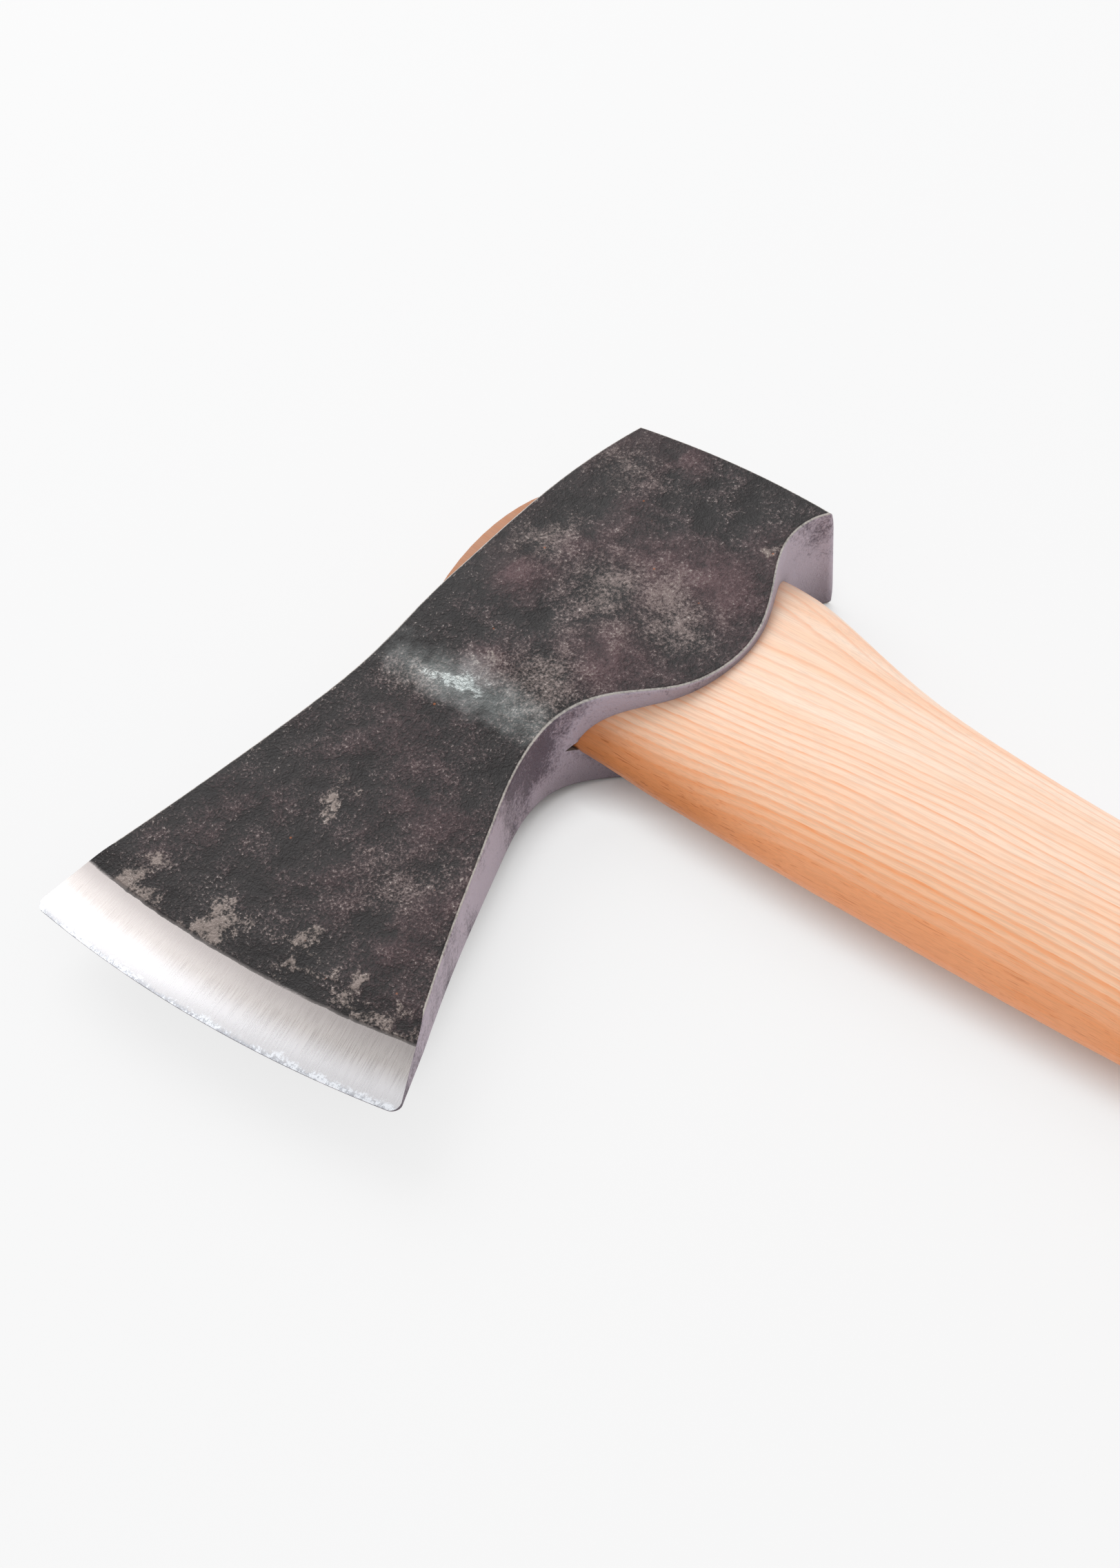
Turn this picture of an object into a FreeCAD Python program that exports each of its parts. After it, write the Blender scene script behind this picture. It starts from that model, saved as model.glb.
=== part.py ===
import FreeCAD, Part
import math
import os

# A carving hatchet lying on its side: one forged head, a hickory haft driven into its eye,
# a wooden wedge in the haft's kerf and a three-legged staple across the wedge.
# It is drawn from the middle of the eye. +X runs down the haft to the butt, +Y to the poll,
# -Y to the cutting edge and +Z through the thickness, with z = 0 on the middle plane.

# Head
head_thickness = 24.5  # across the flat cheeks, at the poll and round the eye
poll_reach = 41.6  # from the middle of the eye to the poll's crown
poll_length = 46.0  # along the haft
poll_crown = 1.5  # of the face along the haft
poll_centre = -6.1
face_crown = 1.5  # of the face through the head's thickness
top_line = -36.9  # the head's top side, beside the eye
corner_radius = 1.4  # the poll's corners, in side view
rim_radius = 0.7  # round both cheeks
lug_tip = (20.0, 4.0)  # the ears reach furthest down the haft here
lug_notch = (11.3, 29.5)
lug_corner = (-0.3, -38.0)  # where the ears run into the blade
cheek_flat_end = -13.0  # the cheeks start to thin here

# Blade
edge_radius = 246.4
edge_centre = (-23.4, 136.6)
toe = (-56.2, -107.6)
heel = (24.2, -105.2)
tip_radius = 1.8  # toe and heel corners, in side view
bevel_width = 12.0
bevel_shoulder = 5.2  # thickness where the bevels start
edge_land = 0.2  # thickness left at the honed edge
bit_end = 4.2  # thickness of the blank just past the edge, before it is ground

# Eye and haft
haft_length = 343.0
haft_top = -40.4  # the crown of the haft's end, proud of the head's top side
top_dome = 80.0
dome_middle = -5.8
slit_front = -27.6  # the bottom of the V in front of the haft
slit_back = -24.6
slit_width = 2.8
butt_round = 9.0  # radius of the butt's rounding, which ends in a flat

# Wedge, kerf and staple
wedge_thickness = 5.0  # at the top of the haft
wedge_tip = 1.6
wedge_depth = 34.0
kerf_width = 1.4
kerf_past_wedge = 7.0
staple_length = 19.5
staple_thickness = 1.8
staple_crown = 3.2
staple_depth = 17.0
staple_sink = 0.4
staple_turn = 32.0  # degrees from the wedge

# The haft's lines, as (station along X, value): its front and back in side view, its
# thickness, and how far the front is drawn in to a nose (0 is an even oval).
front_line = [(-50, -25.4), (0, -25.3), (20, -26.9), (60, -28.7), (110, -29.8)]
front_line += [(230, -27.3), (292, -34.5), (302, -35.2)]
back_line = [(-50, 27.9), (12, 27.8), (22, 26.8), (38, 21.4), (60, 15.8), (100, 11.2)]
back_line += [(200, 6.2), (286, 10.8), (302, 9.4)]
thickness_line = [(-50, 18.8), (-22, 17.8), (5, 21.0), (20, 21.4), (60, 22.8), (100, 23.2)]
thickness_line += [(230, 23.0), (290, 24.0), (302, 23.0)]
nose_line = [(-50, 0.5), (-20, 0.4), (0, 0.08), (60, 0.04), (302, 0.0)]
section_step = 11.0
section_points = 24


def vec(x, y, z=0.0):
    return FreeCAD.Vector(x, y, z)


def spline(points):
    """A smooth edge through points in the middle plane."""
    curve = Part.BSplineCurve()
    curve.interpolate([vec(*point) for point in points])
    return curve.toShape()


def arc(first, middle, last):
    return Part.Arc(vec(*first), vec(*middle), vec(*last)).toShape()


def slab(edges, height):
    """A flat plate of the outline's shape, centred on the middle plane."""
    face = Part.Face(Part.Wire(Part.__sortEdges__(edges)))
    face.translate(vec(0, 0, -height / 2))
    return face.extrude(vec(0, 0, height))


def upright_edges(shape, y_from, y_to):
    """The edges along Z in one band of the side view."""
    found = []
    for edge in shape.Edges:
        box = edge.BoundBox
        if max(box.XLength, box.YLength) < 0.01 and y_from < box.YMin < y_to:
            found.append(edge)
    return found


def head_outline():
    """The head's side view: poll, ears and beard, cutting edge and top side."""
    half = poll_length / 2
    poll_side = poll_reach - poll_crown
    poll_top = (poll_centre - half, poll_side)
    poll_bottom = (poll_centre + half, poll_side)
    edge_middle = (edge_centre[0], edge_centre[1] - edge_radius)
    under = [
        poll_bottom,
        (12.9, 37.0),
        (11.7, 34.0),
        lug_notch,
        (15.0, 19.0),
        lug_tip,
        (15.6, -11.5),
        (6.0, -20.0),
        (0.2, -28.5),
        lug_corner,
        (3.6, -52.0),
        (12.0, -76.0),
        heel,
    ]
    top_side = [toe, (-49.9, -84.0), (-43.6, -58.0), (top_line, -22.0), (-35.4, 5.0), poll_top]
    return [
        arc(poll_top, (poll_centre, poll_reach), poll_bottom),
        spline(under),
        arc(heel, edge_middle, toe),
        spline(top_side),
    ]


def cheek_profile():
    """The head seen from the butt: flat cheeks that hollow down to the blade."""
    half = head_thickness / 2
    behind = poll_reach + 5.0
    ahead = edge_centre[1] - edge_radius - 5.0
    cheek = [(cheek_flat_end, half), (-22.0, 11.4), (-33.0, 8.9), (-48.0, 6.8), (-72.0, 4.9)]
    cheek.append((ahead, bit_end / 2))
    upper = Part.BSplineCurve()
    points = [vec(0, y, z) for y, z in cheek]
    upper.interpolate(points, InitialTangent=vec(0, -1, 0), FinalTangent=vec(0, -1, -0.07))
    upper = upper.toShape()
    lower = upper.mirror(vec(0, 0, 0), vec(0, 0, 1))
    corners = [(cheek_flat_end, half), (behind, half), (behind, -half), (cheek_flat_end, -half)]
    flats = Part.makePolygon([vec(0, y, z) for y, z in corners])
    end = Part.makeLine(vec(0, ahead, bit_end / 2), vec(0, ahead, -bit_end / 2))
    return [upper, lower, end] + flats.Edges


def poll_barrel():
    """A barrel about the poll's long radius, which crowns the face through the thickness."""
    half = head_thickness / 2
    radius = ((poll_length / 2) ** 2 + poll_crown**2) / 2 / poll_crown
    end = radius - face_crown
    stave = Part.Arc(vec(end, 0, -half), vec(radius, 0, 0), vec(end, 0, half)).toShape()
    rest = Part.makePolygon([vec(end, 0, half), vec(0, 0, half), vec(0, 0, -half), vec(end, 0, -half)])
    barrel = Part.Face(Part.Wire([stave] + rest.Edges)).revolve(vec(0, 0, 0), vec(0, 0, 1), 360)
    barrel = barrel.makeFillet(rim_radius, [edge for edge in barrel.Edges if edge.BoundBox.ZLength < 0.01])
    barrel.translate(vec(poll_centre, poll_reach - radius, 0))
    return barrel


def bevel_limits():
    """A double cone round the edge's centre, which grinds both bevels to a curved edge."""
    slope = (bevel_shoulder - edge_land) / 2 / bevel_width
    rim = edge_radius + edge_land / 2 / slope
    corners = [vec(0, 0, -rim * slope), vec(rim, 0, 0), vec(0, 0, rim * slope), vec(0, 0, -rim * slope)]
    cone = Part.Face(Part.makePolygon(corners)).revolve(vec(0, 0, 0), vec(0, 0, 1), 360)
    cone.translate(vec(*edge_centre))
    return cone


def is_rim(edge):
    """True for an edge between a cheek and the side view's outline."""
    box = edge.BoundBox
    upright = max(box.XLength, box.YLength) < 0.01
    across = box.YLength < 0.01
    return not upright and not across


def forged_body():
    """The head before its eye is punched."""
    plate = slab(head_outline(), head_thickness + 20.0)
    plate = plate.makeFillet(corner_radius, upright_edges(plate, poll_reach - 6.0, poll_reach))
    plate = plate.makeFillet(tip_radius, upright_edges(plate, toe[1] - 4.0, toe[1] + 4.0))
    profile = Part.Face(Part.Wire(Part.__sortEdges__(cheek_profile())))
    profile.translate(vec(-100, 0, 0))
    body = plate.common(profile.extrude(vec(200, 0, 0)))
    body = body.makeFillet(rim_radius, [edge for edge in body.Edges if is_rim(edge)])
    return body.common(poll_barrel()).common(bevel_limits())


def follow(guide, x):
    """The value at x of a smooth curve through the guide's points that never overshoots."""
    spans = [(b[0] - a[0], (b[1] - a[1]) / (b[0] - a[0])) for a, b in zip(guide, guide[1:])]
    slopes = [spans[0][1]]
    for (_, before), (_, after) in zip(spans, spans[1:]):
        slopes.append(2 * before * after / (before + after) if before * after > 0 else 0.0)
    slopes.append(spans[-1][1])
    index = max(i for i in range(len(spans)) if i == 0 or guide[i][0] <= x)
    width = spans[index][0]
    t = (x - guide[index][0]) / width
    start, end = guide[index][1], guide[index + 1][1]
    bend = (1 - t) * width * slopes[index] - t * width * slopes[index + 1]
    blend = t * t * (3 - 2 * t)
    return start + (end - start) * blend + t * (1 - t) * bend


def haft_section(x):
    """The haft's outline at one station: an oval that is drawn in to a nose at its front."""
    past = max(x - (haft_top + haft_length - butt_round), 0.0)
    inset = butt_round - math.sqrt(butt_round**2 - past**2)
    front, back = follow(front_line, x) + inset, follow(back_line, x) - inset
    half = follow(thickness_line, x) / 2 - inset
    nose = follow(nose_line, x)
    widest = nose / (2 + nose)
    peak = math.sqrt(1 - widest**2) * ((1 + widest) / 2) ** (nose / 2)
    points = []
    for step in range(section_points):
        turn = math.pi * (2 * step / section_points - 1)
        drawn_in = max(math.cos(turn / 2), 0.0) ** nose / peak
        y = (front + back) / 2 + (back - front) / 2 * math.cos(turn)
        points.append(vec(x, y, half * math.sin(turn) * drawn_in))
    curve = Part.BSplineCurve()
    curve.interpolate(points, PeriodicFlag=True)
    return Part.Wire(curve.toShape())


def haft_blank():
    """The whole haft before it is kerfed: a loft with a domed top and a rounded butt."""
    first = haft_top - 5.0
    rounding = haft_top + haft_length - butt_round
    count = round((rounding - first) / section_step)
    stations = [first + (rounding - first) * step / count for step in range(count + 1)]
    stations += [rounding + butt_round * share for share in (0.4, 0.7, 0.88, 0.96)]
    blank = Part.makeLoft([haft_section(x) for x in stations], True, False)
    dome = Part.makeSphere(top_dome, vec(haft_top + top_dome, dome_middle, 0))
    shaft = Part.makeCylinder(80, haft_length, vec(haft_top + 30, 0, 0), vec(1, 0, 0))
    return blank.common(dome.fuse(shaft))


def wedge_blank():
    """The wedge's slab, longer than the eye both ways."""
    top = haft_top - 5.0
    tip = haft_top + wedge_depth
    lean = (wedge_thickness - wedge_tip) / 2 / wedge_depth
    half_top = wedge_thickness / 2 + 5.0 * lean
    half_tip = wedge_tip / 2
    corners = [(top, half_top), (tip, half_tip), (tip, -half_tip), (top, -half_top), (top, half_top)]
    face = Part.Face(Part.makePolygon([vec(x, -60, z) for x, z in corners]))
    return face.extrude(vec(0, 120, 0))


def kerf():
    """The saw cut that runs on past the wedge's tip."""
    overlap = 3.0
    start = haft_top + wedge_depth - overlap
    return Part.makeBox(kerf_past_wedge + overlap, 120, kerf_width, vec(start, -60, -kerf_width / 2))


def staple_plate(rise):
    """The staple: a crown bar over three chisel-pointed legs. rise lifts the crown's top."""
    pitch = staple_length / 3
    left = -staple_length / 2
    corners = [vec(-rise, left, 0), vec(staple_crown, left, 0)]
    for leg in range(3):
        start = left + leg * pitch
        corners.append(vec(staple_crown, start, 0))
        corners.append(vec(staple_depth, start + pitch * 0.5, 0))
        corners.append(vec(staple_crown, start + pitch, 0))
    corners.append(vec(-rise, -left, 0))
    corners.append(corners[0])
    outline = [corners[0]]
    for corner in corners[1:]:
        if (corner - outline[-1]).Length > 0.001:
            outline.append(corner)
    plate = Part.Face(Part.makePolygon(outline)).extrude(vec(0, 0, staple_thickness))
    plate.translate(vec(0, 0, -staple_thickness / 2))
    plate.rotate(vec(0, 0, 0), vec(1, 0, 0), staple_turn)
    plate.translate(vec(haft_top + staple_sink, 0, 0))
    return plate


def v_slit():
    """The narrow front of the eye, which the haft's nose leaves open."""
    half = slit_width / 2
    corners = [(slit_front, 0), (slit_back, half), (slit_back, -half), (slit_front, 0)]
    face = Part.Face(Part.makePolygon([vec(-60, y, z) for y, z in corners]))
    return face.extrude(vec(90, 0, 0))


blank = haft_blank()
wedge_slab = wedge_blank()
head = forged_body().cut(blank).cut(v_slit())
pocket = staple_plate(8.0)
pieces = {
    "axe_head": head,
    "haft": blank.cut(wedge_slab.fuse(kerf())).cut(pocket),
    "wooden_wedge": wedge_slab.common(blank).cut(pocket),
    "three_legged_staple": staple_plate(0.0),
}

# The origin is the middle of the whole hatchet in plan, on the surface that it lies on.
whole = Part.makeCompound(list(pieces.values())).optimalBoundingBox(True, False)
to_origin = vec(-whole.Center.x, -whole.Center.y, head_thickness / 2)

os.makedirs("parts", exist_ok=True)
for node, shape in pieces.items():
    shape.translate(to_origin)
    shape.exportStep(f"parts/{node}.step")
    state = "valid" if shape.isValid() else "INVALID"
    print(node, state, len(shape.Solids), round(shape.Volume / 1000, 2), "cm3")
print("moved by", to_origin)
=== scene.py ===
import math

import bmesh
import bpy
from mathutils import Matrix, Vector


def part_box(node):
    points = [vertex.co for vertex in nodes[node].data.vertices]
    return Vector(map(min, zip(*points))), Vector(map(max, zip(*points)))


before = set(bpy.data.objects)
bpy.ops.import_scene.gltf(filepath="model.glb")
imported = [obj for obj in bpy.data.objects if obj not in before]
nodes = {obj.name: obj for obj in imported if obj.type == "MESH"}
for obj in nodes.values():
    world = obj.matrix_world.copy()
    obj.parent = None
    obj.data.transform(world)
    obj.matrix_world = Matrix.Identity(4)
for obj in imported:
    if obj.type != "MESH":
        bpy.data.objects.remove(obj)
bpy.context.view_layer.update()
mm = 0.001
print("frame loaded")


def toLinear(code):
    # sRGB hex to the linear colour that a shader wants
    parts = [int(code[i:i + 2], 16) / 255 for i in (1, 3, 5)]
    linear = [c / 12.92 if c <= 0.04045 else ((c + 0.055) / 1.055) ** 2.4 for c in parts]
    return (*linear, 1.0)


def addNode(tree, kind, inputs=None, out=0, stops=None, **settings):
    # one node with its settings and links, and back comes the output that is wanted
    made = tree.nodes.new("ShaderNode" + kind)
    for key, value in settings.items():
        setattr(made, key, value)
    for key, value in (inputs or {}).items():
        if isinstance(value, bpy.types.NodeSocket):
            tree.links.new(value, made.inputs[key])
        else:
            made.inputs[key].default_value = value
    for i, (place, code) in enumerate(stops or []):
        ramp = made.color_ramp.elements
        stop = ramp[i] if i < 2 else ramp.new(place)
        stop.position = place
        stop.color = toLinear(code)
    return made.outputs[out]


def newMaterial(name):
    material = bpy.data.materials.new(name)
    material.use_nodes = True
    tree = material.node_tree
    tree.nodes.clear()
    return material, tree


def finishMaterial(tree, inputs):
    shader = addNode(tree, "BsdfPrincipled", inputs)
    output = tree.nodes.new("ShaderNodeOutputMaterial")
    tree.links.new(shader, output.inputs["Surface"])


camera = {
    "azimuth": 41.17,                    # degrees round the object, from the blade's side
    "elevation": 50.46,
    "roll": 5.77,
    "aim": (-126.58, 8.61, -1.78),       # mm, the point in the middle of the frame
    "distance": 518.6,                   # mm
    "lens": 64.17,                       # mm on a 36 mm sensor
}


def placeCamera():
    a, e, roll = (math.radians(camera[k]) for k in ("azimuth", "elevation", "roll"))
    back = Vector((math.sin(a) * math.cos(e), -math.cos(a) * math.cos(e), math.sin(e)))
    flatRight = Vector((math.cos(a), math.sin(a), 0))
    flatUp = back.cross(flatRight)
    right = flatRight * math.cos(roll) - flatUp * math.sin(roll)
    up = flatRight * math.sin(roll) + flatUp * math.cos(roll)
    data = bpy.data.cameras.new("camera")
    data.lens = camera["lens"]
    data.sensor_width = 36
    data.clip_start = 0.01
    holder = bpy.data.objects.new("camera", data)
    bpy.context.scene.collection.objects.link(holder)
    place = Vector(camera["aim"]) * mm + back * camera["distance"] * mm
    turn = Matrix((right, up, back)).transposed()
    holder.matrix_world = Matrix.Translation(place) @ turn.to_4x4()
    bpy.context.scene.camera = holder


placeCamera()
print("camera placed")


studio = {
    "floorColour": "#f2f2f3",            # matt white table top
    "floorReach": 2.5,                   # metres from the middle to the rim
    "floorLift": 0.8,                    # how much of its own white the camera sees, not light and shadow
    "liftFrom": 0.5, "liftTo": 1.7,      # metres from the middle, between which it turns all white
    "contactReach": 10.0,                # mm, how far an edge just above the table keeps its shadow
    "contactOpen": (0.3, 0.8),           # how open a place is that counts as shut in, and as free
    "contactLift": 0.0,                  # how much of the lift is left right under an edge
    "worldLevel": 0.66,                  # the even light of a white room
    "keyLevel": 3.2,                     # brightness of the big soft box, where 1 is white
    "keySize": 1.3,                      # metres
    "keyFrom": (-0.66, 0.34, 0.67),      # direction, seen from the head
    "keyAway": 1.6,                      # metres
    "backdropLevel": 0.95,               # the white that the camera and reflections see round the object
}


def seenRays(tree):
    # 1 for what the camera, a reflection or a refraction sees, 0 where only light is gathered
    path = addNode(tree, "LightPath").node
    seen = addNode(tree, "Math", {0: path.outputs["Is Camera Ray"], 1: path.outputs["Is Glossy Ray"]},
                   operation="MAXIMUM")
    return addNode(tree, "Math", {0: seen, 1: path.outputs["Is Transmission Ray"]}, operation="MAXIMUM")


def buildFloor():
    bm = bmesh.new()
    bmesh.ops.create_grid(bm, x_segments=8, y_segments=8, size=studio["floorReach"])
    mesh = bpy.data.meshes.new("floor")
    bm.to_mesh(mesh)
    bm.free()
    floor = bpy.data.objects.new("floor", mesh)
    bpy.context.scene.collection.objects.link(floor)
    material, tree = newMaterial("matt_white_board")
    board = addNode(tree, "BsdfPrincipled", {"Base Color": toLinear(studio["floorColour"]),
                                             "Roughness": 0.9, "IOR": 1.3})
    lift = addNode(tree, "Emission", {"Color": (1, 1, 1, 1), "Strength": studio["backdropLevel"]})
    seen = seenRays(tree)
    # far from the hatchet the board runs out into the same white as the room
    away = addNode(tree, "VectorMath", {0: addNode(tree, "TexCoord", out="Object")}, out=1,
                   operation="LENGTH")
    lifted = addNode(tree, "MapRange", {"Value": away, "From Min": studio["liftFrom"],
                                        "From Max": studio["liftTo"],
                                        "To Min": studio["floorLift"]}, interpolation_type="SMOOTHSTEP")
    # and close under an edge it keeps more of the real shadow
    near = addNode(tree, "AmbientOcclusion", {"Distance": studio["contactReach"] * mm}, out="AO", samples=6)
    shut, free = studio["contactOpen"]
    near = addNode(tree, "MapRange", {"Value": near, "From Min": shut, "From Max": free,
                                      "To Min": studio["contactLift"]})
    lifted = addNode(tree, "Math", {0: lifted, 1: near}, operation="MULTIPLY")
    share = addNode(tree, "Math", {0: seen, 1: lifted}, operation="MULTIPLY")
    shader = addNode(tree, "MixShader", {0: share, 1: board, 2: lift})
    output = tree.nodes.new("ShaderNodeOutputMaterial")
    tree.links.new(shader, output.inputs["Surface"])
    mesh.materials.append(material)


def buildLight():
    world = bpy.data.worlds.new("studio")
    world.use_nodes = True
    bpy.context.scene.world = world
    tree = world.node_tree
    tree.nodes.clear()
    level = addNode(tree, "MapRange", {"Value": seenRays(tree), "To Min": studio["worldLevel"],
                                       "To Max": studio["backdropLevel"]})
    sky = addNode(tree, "Background", {"Color": (1, 1, 1, 1), "Strength": level})
    output = tree.nodes.new("ShaderNodeOutputWorld")
    tree.links.new(sky, output.inputs["Surface"])
    lamp = bpy.data.lights.new("soft_box", "AREA")
    lamp.shape = "SQUARE"
    lamp.size = studio["keySize"]
    lamp.energy = studio["keyLevel"] * math.pi * studio["keySize"] ** 2
    holder = bpy.data.objects.new("soft_box", lamp)
    bpy.context.scene.collection.objects.link(holder)
    low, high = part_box("axe_head")
    middle = (Vector(low) + Vector(high)) / 2
    away = Vector(studio["keyFrom"]).normalized()
    holder.location = middle + away * studio["keyAway"]
    holder.rotation_euler = away.to_track_quat("Z", "Y").to_euler()


buildFloor()
buildLight()
bpy.context.scene.view_settings.view_transform = "Standard"
print("floor and light ready")


head = {
    "edgeCentre": (-146.66, 170.70),     # mm, centre of the arc of the cutting edge
    "edgeRadius": 246.4,
    "bevelWidth": 12.0,
}
# mm from that centre to where the scale ends, with half a millimetre for the mean of its ragged line
grindLine = head["edgeRadius"] - head["bevelWidth"] + 0.5

# forged carbon steel, left black from the fire: thin oxide scale over bright metal,
# satin and speckled, rubbed off along the rims, and ground bright on the bevel
forgedSteel = {
    "scaleDark": "#120d0e", "scaleMid": "#35282a", "scaleLight": "#5b494b",
    "plum": "#fbe6ea",                   # tinge of the thicker scale
    "haze": "#665758",                   # dry grey grains that catch the light
    "grain": "#827571", "worn": "#887c76", "blueSteel": "#9aa09f", "wearAndHighlight": "#cdc7c1",
    "rust": "#a8623a",
    # the walls' pale tone is partly painted light from the bright table
    "wall": "#c1b4c1", "wallDark": "#665b66",
    "ground": "#a49f9d", "groundDull": "#8f8a88", "groundShade": "#777271", "edgeSteel": "#cdcccf",
    "burr": "#e6eaf0", "burrDark": "#989da6",
    "scaleRoughness": 0.5, "wornRoughness": 0.4, "bareSmoother": 0.12,
    "groundRoughness": (0.21, 0.35),     # in the marks' valleys and on their ridges
    "wornMetal": 0.35,                   # how much of it shows bright where the scale is worn
    "sheen": 0.3,
    # mm across, the clouds and the grains of the scale
    "blotch": 26.0, "mottle": 6.0, "speckle": 0.55,
    # how much each of them changes the tone
    "tone": {"blotch": 1.9, "mottle": 1.2, "speckle": 0.9, "level": -1.4},
    # darker from the eye towards the blade: y in mm, and how much darker
    "darkens": ((18.0, 0.16), (-12.0, 0.42)),
    # bare patches: place in mm, radius in mm, strength
    "patches": [((-146, -26), 6, 0.68), ((-167, -62), 9, 0.9), ((-148, -60), 7, 0.75),
                ((-114, -59), 9, 1.0), ((-132, -59), 6, 0.8), ((-112, 57), 5, 0.7),
                ((-157, 53), 6, 0.6)],
    # and places where it is only rubbed, so that fine grains show
    "rubbed": [((-132, 33), 14, 0.9), ((-119, 33), 13, 0.85), ((-149, 36), 10, 0.7),
               ((-148, 62), 10, 0.6), ((-123, -38), 15, 0.5), ((-130, 12), 12, 0.9),
               ((-150, 4), 10, 0.7)],
    "flaking": 12.0,                     # mm behind the bevel where the scale comes off
    # the top side's rim is rolled over, and a strip along it is painted dark as shade: a point, the way in,
    # width in mm
    "rolledRimShade": ((-179.5, -73.5), (0.972, -0.236), 3.0),
    # wrinkled where the eye was drawn out into the blade: place, inner and outer radius,
    # and the distance between folds, in mm
    "wrinkles": ((-133, 8), 4.0, 17.0, 1.7),
    # bluish steel where the eye runs into the blade: place, length and width in mm
    "bareStreak": ((-142, 3), 21, 5.0),
    "rustApart": 4.0,                    # mm between the places where a speck can be
    # scratches: length and width in mm, and the two ways they lie, in radians
    "scratches": (9, 0.16, (0.6, -0.9)),
    "cornerShadeReach": 14.0,                   # mm that the painted shade reaches out of the corners at the haft
    # grinding marks: apart and long, in mm, drawn coarser than the real 0.1 mm so that they show
    "marks": (0.25, 7),
    "shadeWidth": 6.0,                   # mm of the bevel that are darker along the grind line
    "edgeBright": (7, 2),                # mm from the edge where it starts and ends getting brighter
    "honedAt": (1.7, 2.4),               # mm beyond the edge, as the noise adds three to the distance
    # heights in mm, and the level that brings the scale down to the bevel
    "relief": {"speckle": 0.25, "mottle": 0.6, "blotch": 3.0, "folds": 0.2, "marks": 0.004,
               "convex": 0.006, "level": -1.78},
}


def headPlaces(tree, look):
    # where a point lies on the head, in millimetres, and the noises that every stage shares
    place = addNode(tree, "TexCoord", out="Object")
    p = addNode(tree, "VectorMath", {0: place, 3: 1000.0}, operation="SCALE")
    facing = addNode(tree, "NewGeometry", out="Normal")
    nz = addNode(tree, "SeparateXYZ", {0: facing}, out=2)
    flatness = addNode(tree, "Math", {0: nz}, operation="ABSOLUTE")
    # seen square on to the cheek
    side = addNode(tree, "VectorMath", {0: p, 1: (1, 1, 0)}, operation="MULTIPLY")
    blotch = addNode(tree, "TexNoise", {"Vector": p, "Scale": 1 / look["blotch"], "Detail": 2.0,
                                        "Roughness": 0.5}).node
    mottle = addNode(tree, "TexNoise", {"Vector": p, "Scale": 1 / look["mottle"], "Detail": 4.0,
                                        "Roughness": 0.65}, out="Fac")
    speckle = addNode(tree, "TexNoise", {"Vector": p, "Scale": 1 / look["speckle"], "Detail": 2.0,
                                         "Roughness": 0.75}, out="Fac")
    # the same place pulled out of round by the blotches, so that patches are ragged
    warp = addNode(tree, "VectorMath", {0: blotch.outputs["Color"], 1: (0.5, 0.5, 0.5)},
                   operation="SUBTRACT")
    warp = addNode(tree, "VectorMath", {0: warp, 3: look["blotch"]}, operation="SCALE")
    pulled = addNode(tree, "VectorMath", {0: p, 1: warp}, operation="ADD")
    pulled = addNode(tree, "VectorMath", {0: pulled, 1: (1, 1, 0)}, operation="MULTIPLY")
    # the distance from the centre of the edge's arc
    fromCentre = addNode(tree, "VectorMath", {0: side, 1: (*head["edgeCentre"], 0)}, operation="SUBTRACT")
    ring = addNode(tree, "VectorMath", {0: fromCentre}, out=1, operation="LENGTH")
    return {"p": p, "facing": facing, "flatness": flatness, "side": side, "pulled": pulled,
            "fromCentre": fromCentre, "ring": ring,
            "blotch": blotch, "mottle": mottle, "speckle": speckle}


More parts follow.
